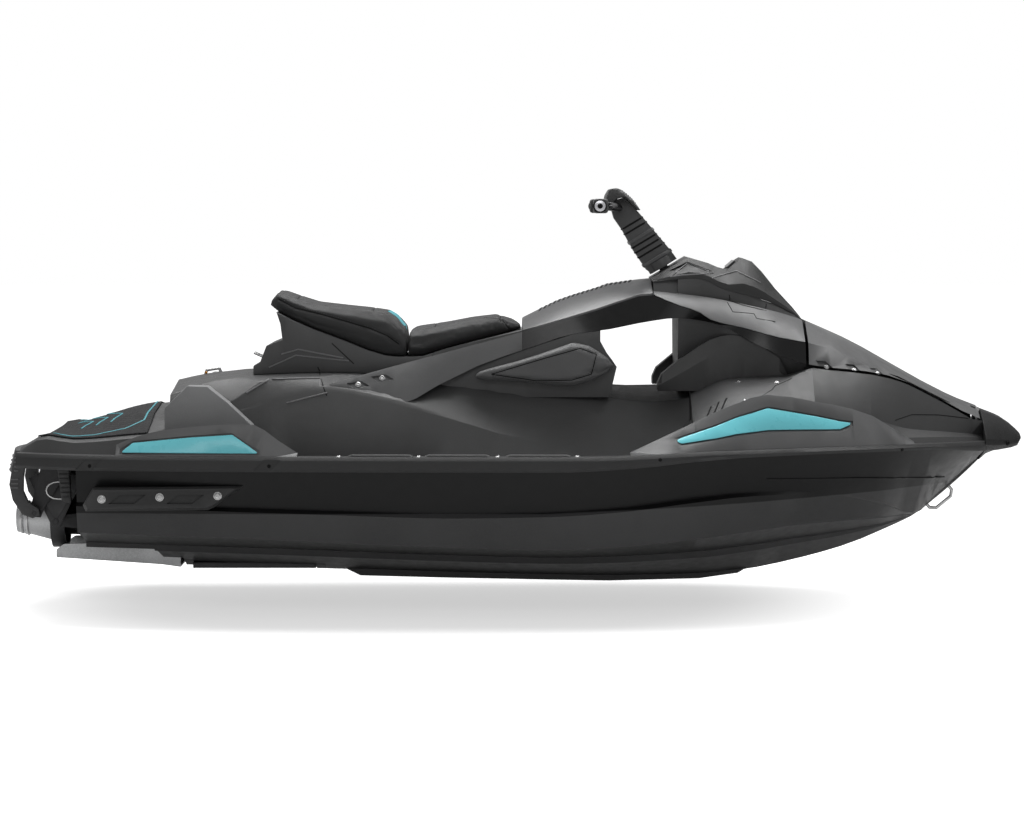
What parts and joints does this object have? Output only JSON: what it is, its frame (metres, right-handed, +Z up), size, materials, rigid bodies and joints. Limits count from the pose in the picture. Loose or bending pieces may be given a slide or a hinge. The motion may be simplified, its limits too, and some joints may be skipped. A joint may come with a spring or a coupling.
{
  "type": "personal watercraft",
  "caption": "Compact sit-down personal watercraft with a bridged spar over an open leg gap, stepped seat, faceted bow, jet pump and folding boarding step.",
  "frame": {"origin": "on the centreline at mid-length, at the floating waterline (mount waterline)", "axes": "+X towards the bow, +Y to port, +Z up"},
  "size_m": [3.13, 1.13, 1.217],
  "materials": {
    "hull_black": "semi-gloss",
    "moulded_black": "matte",
    "panel_satin": "satin",
    "panel_gloss": "gloss",
    "teal_gloss": "gloss",
    "seat_vinyl": "grained vinyl",
    "pad_vinyl": "grained",
    "rail_rubber": "satin",
    "grip_rubber": "ribbed",
    "mat_foam": "grooved foam",
    "cast_alloy": "cast",
    "stainless": "polished",
    "bar_metal": "satin",
    "bar_end_alloy": "satin",
    "engine_iron": "plain block",
    "display_glass": "gloss"
  },
  "bodies": {
    "craft": {"hull": "hull_black", "intake_shoe": "hull_black", "engine": "engine_iron", "gunwale_rails": "rail_rubber", "nose_cap": "moulded_black", "rail_pads": "rail_rubber", "front_fairings": "panel_satin", "rear_fairings": "panel_satin", "front_inserts": "teal_gloss", "rear_inserts": "teal_gloss", "deck": "moulded_black", "saddle": "moulded_black", "seat_pedestal": "moulded_black", "seat_rear": "seat_vinyl", "seat_front": "seat_vinyl", "console": "moulded_black", "spar_panels_rear": "panel_satin", "spar_panels_front": "panel_gloss", "side_shrouds": "panel_satin", "spar_cover": "panel_gloss", "knee_pads": "pad_vinyl", "kick_pods": "moulded_black", "cowl": "moulded_black", "display": "display_glass", "ski_eye": "stainless", "seat_loop": "stainless", "hood_hinge": "stainless", "storage_bin": "moulded_black", "pump_housing": "cast_alloy", "pump_nozzle": "cast_alloy", "ride_plate": "cast_alloy", "intake_grate": "cast_alloy", "step_brackets": "stainless", "eye_brackets": "moulded_black", "stern_eyes": "stainless", "drain_plugs": "moulded_black", "tow_eye": "stainless", "sponsons": "moulded_black", "platform_mat": "mat_foam", "footwell_mats": "mat_foam", "heel_chocks": "mat_foam"},
    "steering_bars": {"steering_riser": "moulded_black", "handlebar": "bar_metal", "bar_pad": "pad_vinyl", "grips": "grip_rubber", "bar_ends": "bar_end_alloy", "switch_housings": "moulded_black", "bar_levers": "bar_metal"},
    "hood_lid": {"hood": "panel_satin"},
    "pump_rotor": {"impeller": "stainless", "drive_shaft": "stainless"},
    "trim_gimbal": {"trim_ring": "cast_alloy"},
    "jet_nozzle": {"steering_nozzle": "cast_alloy"},
    "reverse_gate": {"reverse_bucket": "cast_alloy"},
    "folding_step": {"boarding_step": "moulded_black"}
  },
  "joints": [
    {"name": "bar_steer", "type": "hinge", "parent": "craft", "child": "steering_bars", "pos_m": [0.467, 0, 0.745], "axis": [-0.515, 0, 0.8572], "range_deg": [-24, 24]},
    {"name": "hood_open", "type": "hinge", "parent": "craft", "child": "hood_lid", "pos_m": [1.438, 0, 0.306], "axis": [0, 1, 0], "range_deg": [0, 55]},
    {"name": "impeller_spin", "type": "hinge", "parent": "craft", "child": "pump_rotor", "pos_m": [-1.1, 0, -0.035], "axis": [1, 0, 0], "continuous": true},
    {"name": "nozzle_trim", "type": "hinge", "parent": "craft", "child": "trim_gimbal", "pos_m": [-1.402, 0, -0.035], "axis": [0, 1, 0], "range_deg": [-8, 8]},
    {"name": "nozzle_steer", "type": "hinge", "parent": "trim_gimbal", "child": "jet_nozzle", "pos_m": [-1.402, 0, -0.035], "axis": [0, 0, 1], "range_deg": [-24, 24]},
    {"name": "reverse_drop", "type": "hinge", "parent": "craft", "child": "reverse_gate", "pos_m": [-1.402, 0, -0.035], "axis": [0, 1, 0], "range_deg": [-90, 0]},
    {"name": "step_fold", "type": "hinge", "parent": "craft", "child": "folding_step", "pos_m": [-1.46, 0, -0.005], "axis": [0, 1, 0], "range_deg": [-155, 0], "stiffness_Nm_per_rad": 1.4, "springref_deg": 51.57}
  ],
  "couplings": [
    {"joint": "nozzle_steer", "follows": "bar_steer", "ratio": -1}
  ]
}
